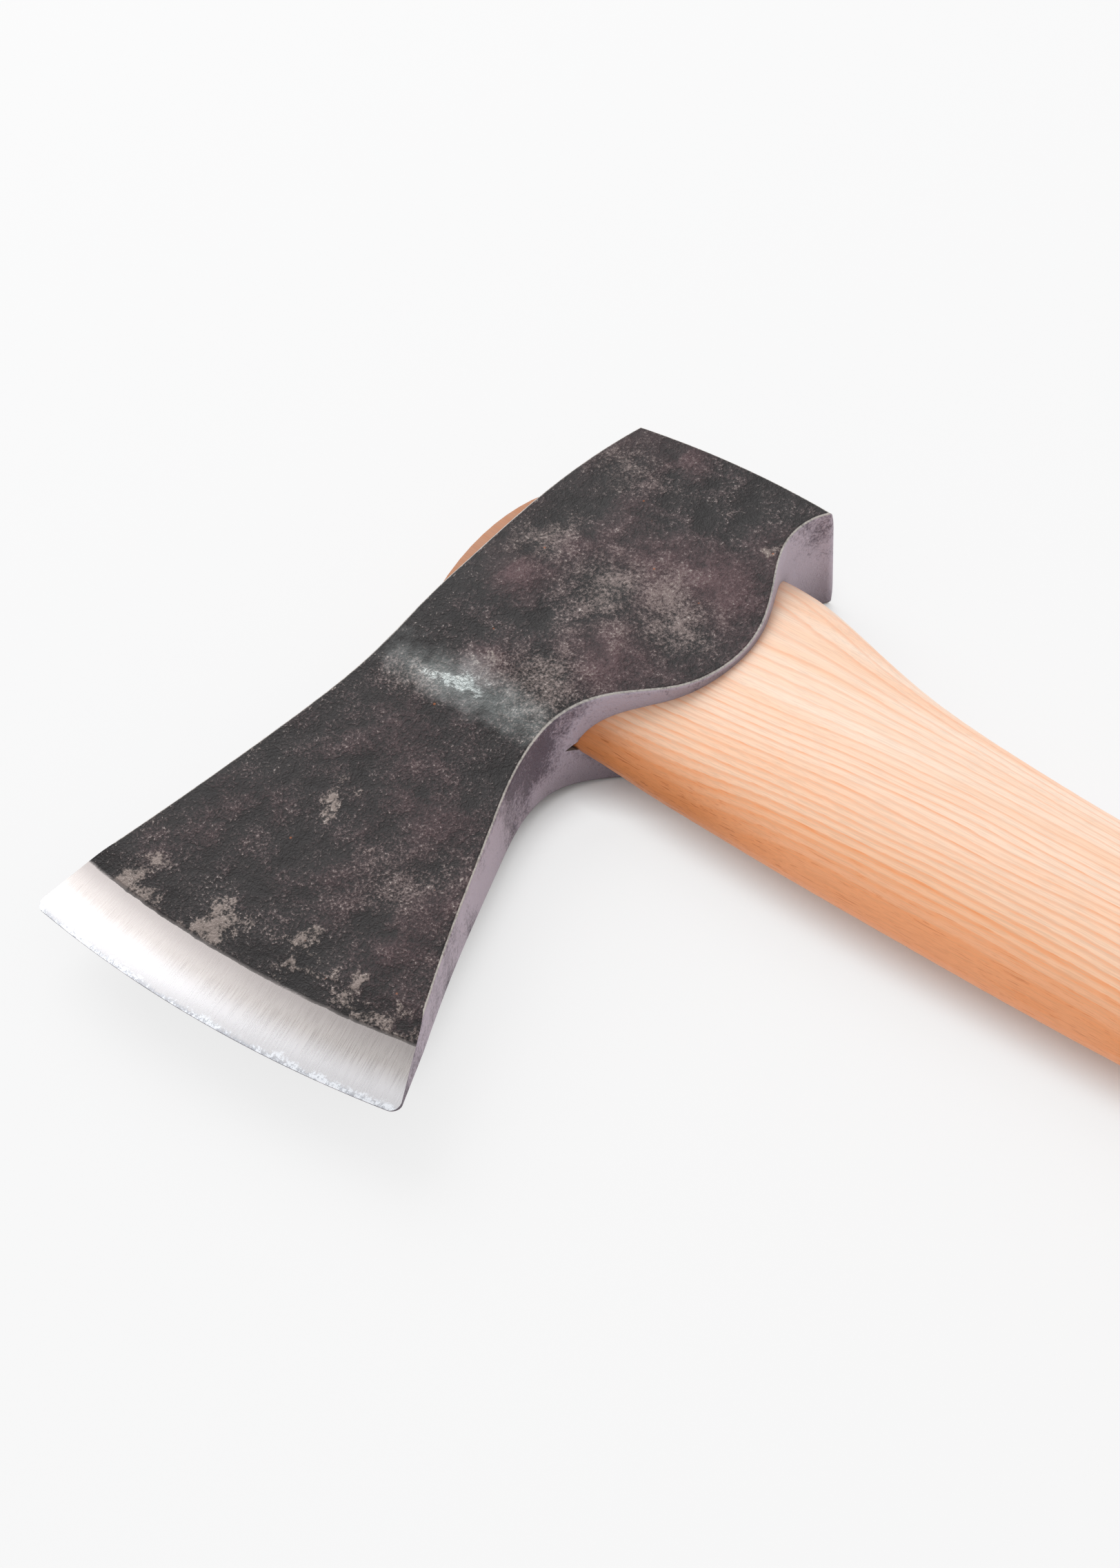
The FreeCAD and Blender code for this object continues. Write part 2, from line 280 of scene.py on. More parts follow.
def scaleColour(tree, look, at):
    # mottled black and brown, with a plum tinge and a dry haze of grains
    p, side, blotch, mottle, speckle = (at[k] for k in ("p", "side", "blotch", "mottle", "speckle"))
    part = look["tone"]
    tone = addNode(tree, "Math", {0: blotch.outputs["Fac"], 1: part["blotch"], 2: part["level"]},
                   operation="MULTIPLY_ADD")
    tone = addNode(tree, "Math", {0: mottle, 1: part["mottle"], 2: tone}, operation="MULTIPLY_ADD")
    tone = addNode(tree, "Math", {0: speckle, 1: part["speckle"], 2: tone}, operation="MULTIPLY_ADD")
    # the scale is darker from the eye towards the blade
    down = addNode(tree, "SeparateXYZ", {0: p}, out=1)
    (eyeAt, little), (bladeAt, much) = look["darkens"]
    darker = addNode(tree, "MapRange", {"Value": down, "From Min": eyeAt, "From Max": bladeAt,
                                        "To Min": little, "To Max": much},
                     interpolation_type="SMOOTHSTEP")
    tone = addNode(tree, "Math", {0: tone, 1: darker}, operation="SUBTRACT")
    colour = addNode(tree, "ValToRGB", {0: tone}, stops=[
        (0.25, look["scaleDark"]), (0.85, look["scaleLight"]), (0.5, look["scaleMid"])])
    # thicker scale has a plum tinge
    tinge = addNode(tree, "SeparateXYZ", {0: blotch.outputs["Color"]})
    tinge = addNode(tree, "MapRange", {"Value": tinge, "From Min": 0.4, "From Max": 0.58},
                    interpolation_type="SMOOTHSTEP")
    colour = addNode(tree, "Mix", {0: tinge, 6: colour, 7: toLinear(look["plum"])}, out=2, data_type="RGBA",
                     blend_type="MULTIPLY")
    # grains that catch the light, more of them in some clouds than in others
    cloud = addNode(tree, "MapRange", {"Value": mottle, "From Min": 0.4, "From Max": 0.68})
    grains = addNode(tree, "MapRange", {"Value": speckle, "From Min": 0.46, "From Max": 0.7, "To Max": 0.8})
    haze = addNode(tree, "Math", {0: cloud, 1: grains}, operation="MULTIPLY")
    colour = addNode(tree, "Mix", {0: haze, 6: colour, 7: toLinear(look["haze"])}, out=2, data_type="RGBA")
    # painted shade: the rolled rim along the top side is painted dark where it turns away from the light
    (x, y), inward, width = look["rolledRimShade"]
    fromRim = addNode(tree, "VectorMath", {0: side, 1: (x, y, 0)}, operation="SUBTRACT")
    fromRim = addNode(tree, "VectorMath", {0: fromRim, 1: (*inward, 0)}, out=1, operation="DOT_PRODUCT")
    fromRim = addNode(tree, "Math", {0: mottle, 1: 1.5, 2: fromRim}, operation="MULTIPLY_ADD")
    rolledRimShade = addNode(tree, "MapRange", {"Value": fromRim, "From Min": width + 1.3, "From Max": width,
                                        "To Max": 0.6},
                     interpolation_type="SMOOTHSTEP")
    colour = addNode(tree, "Mix", {0: rolledRimShade, 6: colour, 7: toLinear(look["scaleDark"])}, out=2,
                     data_type="RGBA")
    return colour, tone


def softSpots(tree, pulled, places):
    # spots that fade out a third beyond their radius, and where two meet the stronger one counts
    spots = 0.0
    for (x, y), radius, strength in places:
        away = addNode(tree, "VectorMath", {0: pulled, 1: (x, y, 0)}, out=1, operation="DISTANCE")
        spot = addNode(tree, "MapRange", {"Value": away, "From Min": radius * 1.3, "From Max": 0.0,
                                          "To Max": strength},
                       interpolation_type="SMOOTHSTEP")
        spots = addNode(tree, "Math", {0: spots, 1: spot}, operation="MAXIMUM")
    return spots


def addWornSpots(tree, look, at, colour):
    # where the scale has come off or is rubbed, broken up by the mottle and the speckle
    blotch, mottle, speckle = (at[k] for k in ("blotch", "mottle", "speckle"))
    spots = softSpots(tree, at["pulled"], look["patches"])
    grainy = softSpots(tree, at["pulled"], look["rubbed"])
    # scale flakes off in a band behind the bevel too
    band = addNode(tree, "MapRange", {"Value": at["ring"], "From Min": grindLine - look["flaking"],
                                      "From Max": grindLine, "To Max": 0.75},
                   interpolation_type="SMOOTHSTEP")
    patchy = addNode(tree, "MapRange", {"Value": blotch.outputs["Fac"], "From Min": 0.42, "From Max": 0.56})
    band = addNode(tree, "Math", {0: band, 1: patchy}, operation="MULTIPLY")
    spots = addNode(tree, "Math", {0: spots, 1: band}, operation="MAXIMUM")
    peeled = addNode(tree, "Math", {0: spots, 1: 0.5, 2: -1.45}, operation="MULTIPLY_ADD")
    peeled = addNode(tree, "Math", {0: mottle, 1: 1.7, 2: peeled}, operation="MULTIPLY_ADD")
    peeled = addNode(tree, "Math", {0: speckle, 1: 0.6, 2: peeled}, operation="MULTIPLY_ADD")
    peeled = addNode(tree, "MapRange", {"Value": peeled, "From Min": 0.0, "From Max": 0.2, "To Max": 0.85},
                     interpolation_type="SMOOTHSTEP")
    stipple = addNode(tree, "Math", {0: grainy, 1: 0.42, 2: -1.22}, operation="MULTIPLY_ADD")
    stipple = addNode(tree, "Math", {0: mottle, 1: 0.9, 2: stipple}, operation="MULTIPLY_ADD")
    stipple = addNode(tree, "Math", {0: speckle, 1: 1.2, 2: stipple}, operation="MULTIPLY_ADD")
    stipple = addNode(tree, "MapRange", {"Value": stipple, "From Min": -0.06, "From Max": 0.4,
                                         "To Max": 0.8},
                      interpolation_type="SMOOTHSTEP")
    colour = addNode(tree, "Mix", {0: stipple, 6: colour, 7: toLinear(look["grain"])}, out=2,
                     data_type="RGBA")
    colour = addNode(tree, "Mix", {0: peeled, 6: colour, 7: toLinear(look["worn"])}, out=2,
                     data_type="RGBA")
    worn = addNode(tree, "Math", {0: peeled, 1: stipple}, operation="MAXIMUM")
    return colour, worn, grainy


def addBareStreak(tree, look, at, colour):
    # the bare streak in front of the eye, soft at the rim and glinting in the middle
    side, mottle, speckle = (at[k] for k in ("side", "mottle", "speckle"))
    (x, y), length, width = look["bareStreak"]
    streak = addNode(tree, "VectorMath", {0: side, 1: (x, y, 0)}, operation="SUBTRACT")
    streak = addNode(tree, "VectorMath", {0: streak, 1: (1 / length, 1 / width, 0)}, operation="MULTIPLY")
    streak = addNode(tree, "VectorMath", {0: streak}, out=1, operation="LENGTH")
    ragged = addNode(tree, "Math", {0: mottle, 1: -2.0, 2: streak}, operation="MULTIPLY_ADD")
    soft = addNode(tree, "MapRange", {"Value": ragged, "From Min": 0.3, "From Max": -0.9, "To Max": 0.45},
                   interpolation_type="SMOOTHSTEP")
    glint = addNode(tree, "Math", {0: speckle, 1: -0.5, 2: ragged}, operation="MULTIPLY_ADD")
    glint = addNode(tree, "MapRange", {"Value": glint, "From Min": -0.7, "From Max": -1.15, "To Max": 0.9},
                    interpolation_type="SMOOTHSTEP")
    bare = addNode(tree, "Math", {0: soft, 1: glint}, operation="MAXIMUM")
    colour = addNode(tree, "Mix", {0: bare, 6: colour, 7: toLinear(look["blueSteel"])}, out=2,
                     data_type="RGBA")
    return colour, bare


def addSpecks(tree, look, at, colour, worn, grainy):
    # what is too fine for a patch: rust, scratches, and rubbed grains painted as glints
    p, side, mottle, speckle = (at[k] for k in ("p", "side", "mottle", "speckle"))
    # a few specks of rust, half a millimetre across
    cell = addNode(tree, "TexVoronoi", {"Vector": p, "Scale": 1 / look["rustApart"]}).node
    dot = addNode(tree, "MapRange", {"Value": cell.outputs["Distance"], "From Min": 0.08, "From Max": 0.03,
                                     "To Max": 0.8})
    chosen = addNode(tree, "SeparateXYZ", {0: cell.outputs["Color"]})
    chosen = addNode(tree, "Math", {0: chosen, 1: 0.8}, operation="GREATER_THAN")
    dot = addNode(tree, "Math", {0: dot, 1: chosen}, operation="MULTIPLY")
    colour = addNode(tree, "Mix", {0: dot, 6: colour, 7: toLinear(look["rust"])}, out=2, data_type="RGBA")
    # fine scratches, lying two ways
    scratched = 0.0
    length, width, turns = look["scratches"]
    for turn in turns:
        lying = addNode(tree, "Mapping", {"Vector": side, "Rotation": (0, 0, turn),
                                          "Scale": (1 / length, 1 / width, 0)})
        hair = addNode(tree, "TexNoise", {"Vector": lying, "Scale": 1.0, "Detail": 0.0}, out="Fac")
        hair = addNode(tree, "MapRange", {"Value": hair, "From Min": 0.76, "From Max": 0.86, "To Max": 0.6})
        scratched = addNode(tree, "Math", {0: scratched, 1: hair}, operation="MAXIMUM")
    scratched = addNode(tree, "Math", {0: scratched, 1: grainy}, operation="MULTIPLY")
    colour = addNode(tree, "Mix", {0: scratched, 6: colour, 7: toLinear(look["worn"])}, out=2,
                     data_type="RGBA")
    # the highest grains are rubbed to bare metal, and painted light as small glints
    peaks = addNode(tree, "MapRange", {"Value": speckle, "From Min": 0.63, "From Max": 0.75, "To Max": 0.6})
    often = addNode(tree, "MapRange", {"Value": mottle, "From Min": 0.38, "From Max": 0.62})
    peaks = addNode(tree, "Math", {0: peaks, 1: often}, operation="MULTIPLY")
    colour = addNode(tree, "Mix", {0: peaks, 6: colour, 7: toLinear(look["wearAndHighlight"])}, out=2,
                     data_type="RGBA")
    worn = addNode(tree, "Math", {0: worn, 1: peaks}, operation="MAXIMUM")
    return colour, worn


def addWallsAndRims(tree, look, at, colour, tone):
    # walls: greyer, with thin scale
    facing, flatness, mottle, speckle = (at[k] for k in ("facing", "flatness", "mottle", "speckle"))
    wall = addNode(tree, "MapRange", {"Value": flatness, "From Min": 0.8, "From Max": 0.5},
                   interpolation_type="SMOOTHSTEP")
    # the walls that face the haft's side take the pale wall tone, partly their own thin grey scale and
    # partly painted light from the bright table; the top side's walls keep the scale's colour
    wallTone = addNode(tree, "ValToRGB", {0: tone}, stops=[(0.0, look["wallDark"]), (0.42, look["wall"])])
    # painted shade: the walls are darker in the corners at the haft
    corner = addNode(tree, "AmbientOcclusion", {"Distance": look["cornerShadeReach"] * mm}, out="AO", samples=6)
    corner = addNode(tree, "MapRange", {"Value": corner, "From Min": 0.35, "From Max": 0.8, "To Min": 0.22})
    wallTone = addNode(tree, "Mix", {0: 1.0, 6: wallTone, 7: corner}, out=2, data_type="RGBA",
                       blend_type="MULTIPLY")
    # painted light: the walls facing the haft's side are painted paler than the top side's walls
    nx = addNode(tree, "SeparateXYZ", {0: facing})
    paleAndLitWalls = addNode(tree, "MapRange", {"Value": nx, "From Min": -0.25, "From Max": 0.3, "To Min": 0.25},
                      interpolation_type="SMOOTHSTEP")
    paleAndLitWalls = addNode(tree, "Math", {0: paleAndLitWalls, 1: wall}, operation="MULTIPLY")
    colour = addNode(tree, "Mix", {0: paleAndLitWalls, 6: colour, 7: wallTone}, out=2, data_type="RGBA")
    # rims rubbed bright, with gaps, and painted lighter as a thin highlight along the fillets
    rimIn = addNode(tree, "MapRange", {"Value": flatness, "From Min": 0.95, "From Max": 0.87},
                    interpolation_type="SMOOTHSTEP")
    rimOut = addNode(tree, "MapRange", {"Value": flatness, "From Min": 0.5, "From Max": 0.7},
                     interpolation_type="SMOOTHSTEP")
    rim = addNode(tree, "Math", {0: rimIn, 1: rimOut}, operation="MULTIPLY")
    gaps = addNode(tree, "Math", {0: mottle, 1: speckle}, operation="MULTIPLY")
    gaps = addNode(tree, "MapRange", {"Value": gaps, "From Min": 0.14, "From Max": 0.27, "To Min": 0.5,
                                      "To Max": 1.0})
    rim = addNode(tree, "Math", {0: rim, 1: gaps}, operation="MULTIPLY")
    colour = addNode(tree, "Mix", {0: rim, 6: colour, 7: toLinear(look["wearAndHighlight"])}, out=2,
                     data_type="RGBA")
    return colour


def addBevel(tree, look, at, colour):
    # bevel: everything outside the grind line
    flatness, mottle, speckle = (at[k] for k in ("flatness", "mottle", "speckle"))
    fromCentre, ring = at["fromCentre"], at["ring"]
    edgeAt = addNode(tree, "Math", {0: mottle, 1: 1.0, 2: ring}, operation="MULTIPLY_ADD")
    ground = addNode(tree, "MapRange", {"Value": edgeAt, "From Min": grindLine - 0.3,
                                        "From Max": grindLine + 0.4})
    facesUp = addNode(tree, "MapRange", {"Value": flatness, "From Min": 0.7, "From Max": 0.85})
    ground = addNode(tree, "Math", {0: ground, 1: facesUp}, operation="MULTIPLY")
    # grinding marks run across the bevel
    apart, long = look["marks"]
    split = addNode(tree, "SeparateXYZ", {0: fromCentre}).node
    angle = addNode(tree, "Math", {0: split.outputs[0], 1: split.outputs[1]}, operation="ARCTAN2")
    along = addNode(tree, "Math", {0: angle, 1: head["edgeRadius"] / apart}, operation="MULTIPLY")
    across = addNode(tree, "Math", {0: ring, 1: 1 / long}, operation="MULTIPLY")
    marks = addNode(tree, "TexNoise", {"Vector": addNode(tree, "CombineXYZ", {0: along, 1: across}),
                                       "Scale": 1.0, "Detail": 2.0, "Roughness": 0.7}, out="Fac")
    steel = addNode(tree, "ValToRGB", {0: marks}, stops=[(0.3, look["groundDull"]), (0.6, look["ground"])])
    shade = addNode(tree, "MapRange", {"Value": edgeAt, "From Min": grindLine + look["shadeWidth"],
                                       "From Max": grindLine, "To Max": 0.9},
                    interpolation_type="SMOOTHSTEP")
    steel = addNode(tree, "Mix", {0: shade, 6: steel, 7: toLinear(look["groundShade"])}, out=2,
                    data_type="RGBA")
    start, end = (head["edgeRadius"] - k for k in look["edgeBright"])
    bright = addNode(tree, "MapRange", {"Value": edgeAt, "From Min": start, "From Max": end, "To Max": 0.8},
                     interpolation_type="SMOOTHSTEP")
    steel = addNode(tree, "Mix", {0: bright, 6: steel, 7: toLinear(look["edgeSteel"])}, out=2,
                    data_type="RGBA")
    # the honed strip along the edge, a ragged two millimetres of bluer steel
    honed = addNode(tree, "Math", {0: mottle, 1: 4.0, 2: ring}, operation="MULTIPLY_ADD")
    honed = addNode(tree, "Math", {0: speckle, 1: 2.0, 2: honed}, operation="MULTIPLY_ADD")
    start, end = (head["edgeRadius"] + k for k in look["honedAt"])
    honed = addNode(tree, "MapRange", {"Value": honed, "From Min": start, "From Max": end, "To Max": 0.7})
    burr = addNode(tree, "ValToRGB", {0: addNode(tree, "Math", {0: speckle, 1: mottle},
                                                 operation="MULTIPLY")},
                   stops=[(0.19, look["burrDark"]), (0.27, look["burr"])])
    steel = addNode(tree, "Mix", {0: honed, 6: steel, 7: burr}, out=2, data_type="RGBA")
    colour = addNode(tree, "Mix", {0: ground, 6: colour, 7: steel}, out=2, data_type="RGBA")
    return colour, ground, marks


def headRelief(tree, look, at, ground, marks):
    # hammer dents and pits in the scale, scratches on the bevel
    blotch, mottle, speckle = (at[k] for k in ("blotch", "mottle", "speckle"))
    high = look["relief"]
    pits = addNode(tree, "Math", {0: speckle, 1: high["speckle"], 2: high["level"]},
                   operation="MULTIPLY_ADD")
    pits = addNode(tree, "Math", {0: mottle, 1: high["mottle"], 2: pits}, operation="MULTIPLY_ADD")
    pits = addNode(tree, "Math", {0: blotch.outputs["Fac"], 1: high["blotch"], 2: pits},
                   operation="MULTIPLY_ADD")
    # the scale is wrinkled where the eye was drawn out into the blade
    (x, y), inner, outer, apart = look["wrinkles"]
    away = addNode(tree, "VectorMath", {0: at["side"], 1: (x, y, 0)}, out=1, operation="DISTANCE")
    wrinkled = addNode(tree, "MapRange", {"Value": away, "From Min": outer, "From Max": inner},
                       interpolation_type="SMOOTHSTEP")
    folds = addNode(tree, "TexVoronoi", {"Vector": at["pulled"], "Scale": 1 / apart}, out="Distance")
    folds = addNode(tree, "Math", {0: folds, 1: wrinkled}, operation="MULTIPLY")
    pits = addNode(tree, "Math", {0: folds, 1: high["folds"], 2: pits}, operation="MULTIPLY_ADD")
    # the bevel is ground a little convex
    fromMiddle = addNode(tree, "Math", {0: at["ring"], 1: head["edgeRadius"] - head["bevelWidth"] / 2},
                         operation="SUBTRACT")
    convex = addNode(tree, "Math", {0: fromMiddle, 1: fromMiddle}, operation="MULTIPLY")
    scratches = addNode(tree, "Math", {0: marks, 1: high["marks"]}, operation="MULTIPLY")
    scratches = addNode(tree, "Math", {0: convex, 1: -high["convex"], 2: scratches},
                        operation="MULTIPLY_ADD")
    relief = addNode(tree, "Mix", {0: ground, 2: pits, 3: scratches}, data_type="FLOAT")
    return addNode(tree, "Bump", {"Height": relief, "Distance": mm, "Strength": 1.0})


def paintHead():
    look = forgedSteel
    material, tree = newMaterial("forged_carbon_steel")
    at = headPlaces(tree, look)
    colour, tone = scaleColour(tree, look, at)
    colour, worn, grainy = addWornSpots(tree, look, at, colour)
    colour, bare = addBareStreak(tree, look, at, colour)
    colour, worn = addSpecks(tree, look, at, colour, worn, grainy)
    colour = addWallsAndRims(tree, look, at, colour, tone)
    colour, ground, marks = addBevel(tree, look, at, colour)
    roughness = addNode(tree, "MapRange", {"Value": worn, "To Min": look["scaleRoughness"],
                                           "To Max": look["wornRoughness"]})
    roughness = addNode(tree, "Math", {0: bare, 1: -look["bareSmoother"], 2: roughness},
                        operation="MULTIPLY_ADD")
    smooth, rough = look["groundRoughness"]
    bevelRoughness = addNode(tree, "MapRange", {"Value": marks, "To Min": smooth, "To Max": rough})
    roughness = addNode(tree, "Mix", {0: ground, 2: roughness, 3: bevelRoughness}, data_type="FLOAT")
    metal = addNode(tree, "Math", {0: worn, 1: look["wornMetal"]}, operation="MULTIPLY")
    metal = addNode(tree, "Math", {0: metal, 1: bare}, operation="MAXIMUM")
    metal = addNode(tree, "Math", {0: metal, 1: ground}, operation="MAXIMUM")
    bump = headRelief(tree, look, at, ground, marks)
    finishMaterial(tree, {"Base Color": colour, "Metallic": metal, "Roughness": roughness, "Normal": bump,
                          "Specular IOR Level": look["sheen"]})
    return material


nodes["axe_head"].material_slots[0].material = paintHead()
print("head ready")


# hickory, planed and sanded along the grain, rubbed with linseed oil: satin, pale peach near the pith,
# close orange rings further out, and streaks of darker pores
hickory = {
    "light": "#ffe3cd", "mid": "#ffcfae", "outer": "#ffc89e",
    "line": "#f3a26c", "outerLine": "#fa9347",   # late wood of the wide rings and of the close ones
    "pore": "#a85c30", "side": "#fba268", "stain": "#d9864a",
    "endGrain": "#c58a5c", "soaked": "#b06a38",
    "dirtyTo": -72.0, "dirtFade": 40.0,  # mm, the narrow side is darker up to here, and over this much
    "soakedTo": -157.0,                  # mm, beyond this the top end is dark with oil
    "pith": (50.0, -2.0),                # mm, where the middle of the tree lies beside the haft, y and z
    "outerFrom": 30.0, "outerTo": 56.0,  # mm from the pith, between which the outer wood takes over
    "ringWidth": 0.7, "ringsAt": 52.0,   # mm, the width of a ring at this distance from the pith
    "growth": 2.2,                       # how fast the rings close up outwards
    "fray": 0.3,                         # of a ring's width, how far the fibres push its edge
    "slope": 0.02,                       # how far the grain runs out of line
    "drift": 2.0,                        # mm that it wanders
    # length and width in mm: of a bend in the grain, of a paler band, and of a fibre or pore,
    # which is drawn a little coarser than a real one so that it shows
    "wander": (80, 22), "band": (90, 4), "fibre": (6, 0.24),
    "fibreHeight": 0.02, "poreDepth": 0.03,   # mm
    "dirtAndShadeReach": 3.0,                   # mm that the dirt and painted shade reach out from the steel
    "roughness": (0.36, 0.58),
}

# birch wedge, sawn: straw yellow and duller, with wider rings, neither stained nor soaked
wedgeWood = {
    **hickory,
    "light": "#ecd2ad", "mid": "#dfbd92", "outer": "#d0a574",
    "line": "#c79b6b", "outerLine": "#b98a58",
    "pore": "#a67a4c", "side": "#d0a574", "stain": "#d0a574",
    "endGrain": "#c9a274", "soaked": "#c9a274",
    "dirtyTo": -300.0, "soakedTo": -200.0,
    "pith": (30.0, -60.0), "outerFrom": 70.0, "outerTo": 110.0,
    "ringWidth": 1.2, "ringsAt": 80.0, "slope": 0.04,
    "roughness": (0.5, 0.72),
}


def woodPlaces(tree, look):
    # where a point lies in the tree that the piece was cut from, and the fibres and rings there, in mm
    place = addNode(tree, "TexCoord", out="Object")
    p = addNode(tree, "VectorMath", {0: place, 3: 1000.0}, operation="SCALE")
    # the grain wanders a few millimetres over the length of a hand
    length, width = look["wander"]
    slow = addNode(tree, "VectorMath", {0: p, 1: (1 / length, 1 / width, 1 / width)}, operation="MULTIPLY")
    drift = addNode(tree, "TexNoise", {"Vector": slow, "Scale": 1.0, "Detail": 2.0}, out="Color")
    drift = addNode(tree, "VectorMath", {0: drift, 1: (0.5, 0.5, 0.5)}, operation="SUBTRACT")
    drift = addNode(tree, "VectorMath", {0: drift, 1: (0, 2 * look["drift"], 2 * look["drift"])},
                    operation="MULTIPLY")
    q = addNode(tree, "VectorMath", {0: p, 1: drift}, operation="ADD")
    parts = addNode(tree, "SeparateXYZ", {0: q}).node
    y = addNode(tree, "Math", {0: parts.outputs[0], 1: look["slope"], 2: parts.outputs[1]},
                operation="MULTIPLY_ADD")
    dy = addNode(tree, "Math", {0: y, 1: look["pith"][0]}, operation="SUBTRACT")
    dz = addNode(tree, "Math", {0: parts.outputs[2], 1: look["pith"][1]}, operation="SUBTRACT")
    radius = addNode(tree, "VectorMath", {0: addNode(tree, "CombineXYZ", {0: dy, 1: dz})}, out=1,
                     operation="LENGTH")
    # the young tree grew fast, so the rings near the pith are wide and the outer ones close
    ringAt = addNode(tree, "Math", {0: radius, 1: 1 / look["ringsAt"]}, operation="MULTIPLY")
    ringAt = addNode(tree, "Math", {0: ringAt, 1: look["growth"]}, operation="POWER")
    ringAt = addNode(tree, "Math", {0: ringAt, 1: look["ringsAt"] / look["growth"] / look["ringWidth"]},
                     operation="MULTIPLY")
    # fibres and pores, which fray the edges of the rings
    length, width = look["fibre"]
    thin = addNode(tree, "VectorMath", {0: q, 1: (1 / length, 1 / width, 1 / width)}, operation="MULTIPLY")
    fibre = addNode(tree, "TexNoise", {"Vector": thin, "Scale": 1.0, "Detail": 3.0, "Roughness": 0.6},
                    out="Fac")
    ringAt = addNode(tree, "Math", {0: fibre, 1: look["fray"], 2: ringAt}, operation="MULTIPLY_ADD")
    length, width = look["band"]
    broad = addNode(tree, "VectorMath", {0: p, 1: (1 / length, 1 / width, 1 / width)}, operation="MULTIPLY")
    band = addNode(tree, "TexNoise", {"Vector": broad, "Scale": 1.0, "Detail": 3.0, "Roughness": 0.5},
                   out="Fac")
    return {"p": p, "along": parts.outputs[0], "radius": radius, "ringAt": ringAt, "fibre": fibre,
            "band": band}


def ringColour(tree, look, at):
    # paler and darker bands, and rings that get closer and more orange outwards
    radius, ringAt, fibre, band = (at[k] for k in ("radius", "ringAt", "fibre", "band"))
    colour = addNode(tree, "ValToRGB", {0: band}, stops=[(0.3, look["mid"]), (0.65, look["light"])])
    outer = addNode(tree, "MapRange", {"Value": radius, "From Min": look["outerFrom"],
                                       "From Max": look["outerTo"]},
                    interpolation_type="SMOOTHSTEP")
    colour = addNode(tree, "Mix", {0: outer, 6: colour, 7: toLinear(look["outer"])}, out=2,
                     data_type="RGBA")
    # the dark part of a ring is a thin line near the pith and most of the ring further out
    ring = addNode(tree, "Math", {0: ringAt}, operation="FRACT")
    lineIn = addNode(tree, "MapRange", {"Value": ring, "From Min": 0.0, "From Max": 0.1})
    lineEnd = addNode(tree, "Math", {0: outer, 1: 0.5, 2: 0.38}, operation="MULTIPLY_ADD")
    lineTop = addNode(tree, "Math", {0: outer, 1: 0.3, 2: 0.1}, operation="MULTIPLY_ADD")
    lineOut = addNode(tree, "MapRange", {"Value": ring, "From Min": lineEnd, "From Max": lineTop})
    line = addNode(tree, "Math", {0: lineIn, 1: lineOut}, operation="MULTIPLY")
    broken = addNode(tree, "MapRange", {"Value": fibre, "From Min": 0.3, "From Max": 0.6, "To Min": 0.25,
                                        "To Max": 0.95})
    # some years are stronger than others
    year = addNode(tree, "TexWhiteNoise", {"W": addNode(tree, "Math", {0: ringAt}, operation="FLOOR")},
                   noise_dimensions="1D")
    year = addNode(tree, "MapRange", {"Value": year, "To Min": 0.6, "To Max": 1.1})
    lineShown = addNode(tree, "Math", {0: line, 1: broken}, operation="MULTIPLY")
    soft = addNode(tree, "MapRange", {"Value": outer, "To Min": 0.6})
    lineShown = addNode(tree, "Math", {0: lineShown, 1: soft}, operation="MULTIPLY")
    lineShown = addNode(tree, "Math", {0: lineShown, 1: year}, operation="MULTIPLY", use_clamp=True)
    lineColour = addNode(tree, "Mix", {0: outer, 6: toLinear(look["line"]), 7: toLinear(look["outerLine"])},
                         out=2, data_type="RGBA")
    colour = addNode(tree, "Mix", {0: lineShown, 6: colour, 7: lineColour}, out=2, data_type="RGBA")
    return colour, line


def addNarrowSide(tree, look, at, colour, line):
    # the narrow side is darker and more orange, partly the wood's own darker outer layer and partly painted
    # shade on the side that faces away from the light; it cuts through more pores and holds more dirt
    along, fibre = at["along"], at["fibre"]
    across = addNode(tree, "SeparateXYZ", {0: addNode(tree, "NewGeometry", out="Normal")}, out=1)
    side = addNode(tree, "MapRange", {"Value": across, "From Min": -0.35, "From Max": -0.95},
                   interpolation_type="SMOOTHSTEP")
    sideLayerAndShade = addNode(tree, "Math", {0: side, 1: 0.85}, operation="MULTIPLY")
    colour = addNode(tree, "Mix", {0: sideLayerAndShade, 6: colour, 7: toLinear(look["side"])}, out=2,
                     data_type="RGBA")
    # stained by hands and forge dirt next to the head
    handled = addNode(tree, "MapRange", {"Value": along, "From Min": look["dirtyTo"],
                                         "From Max": look["dirtyTo"] - look["dirtFade"]},
                      interpolation_type="SMOOTHSTEP")
    stain = addNode(tree, "Math", {0: side, 1: handled}, operation="MULTIPLY")
    stain = addNode(tree, "MapRange", {"Value": stain, "From Max": 0.6, "To Max": 0.75})
    colour = addNode(tree, "Mix", {0: stain, 6: colour, 7: toLinear(look["stain"])}, out=2,
                     data_type="RGBA")
    # open pores: few on the broad faces, short dark dashes along the narrow side
    pore = addNode(tree, "MapRange", {"Value": fibre, "From Min": 0.55, "From Max": 0.68})
    handled = addNode(tree, "Math", {0: handled, 1: 0.5, 2: 0.5}, operation="MULTIPLY_ADD")
    often = addNode(tree, "Math", {0: side, 1: 0.85}, operation="MULTIPLY")
    often = addNode(tree, "Math", {0: often, 1: handled, 2: 0.08}, operation="MULTIPLY_ADD")
    often = addNode(tree, "Math", {0: line, 1: 0.1, 2: often}, operation="MULTIPLY_ADD")
    poreShown = addNode(tree, "Math", {0: pore, 1: often}, operation="MULTIPLY", use_clamp=True)
    colour = addNode(tree, "Mix", {0: poreShown, 6: colour, 7: toLinear(look["pore"])}, out=2,
                     data_type="RGBA")
    return colour, poreShown


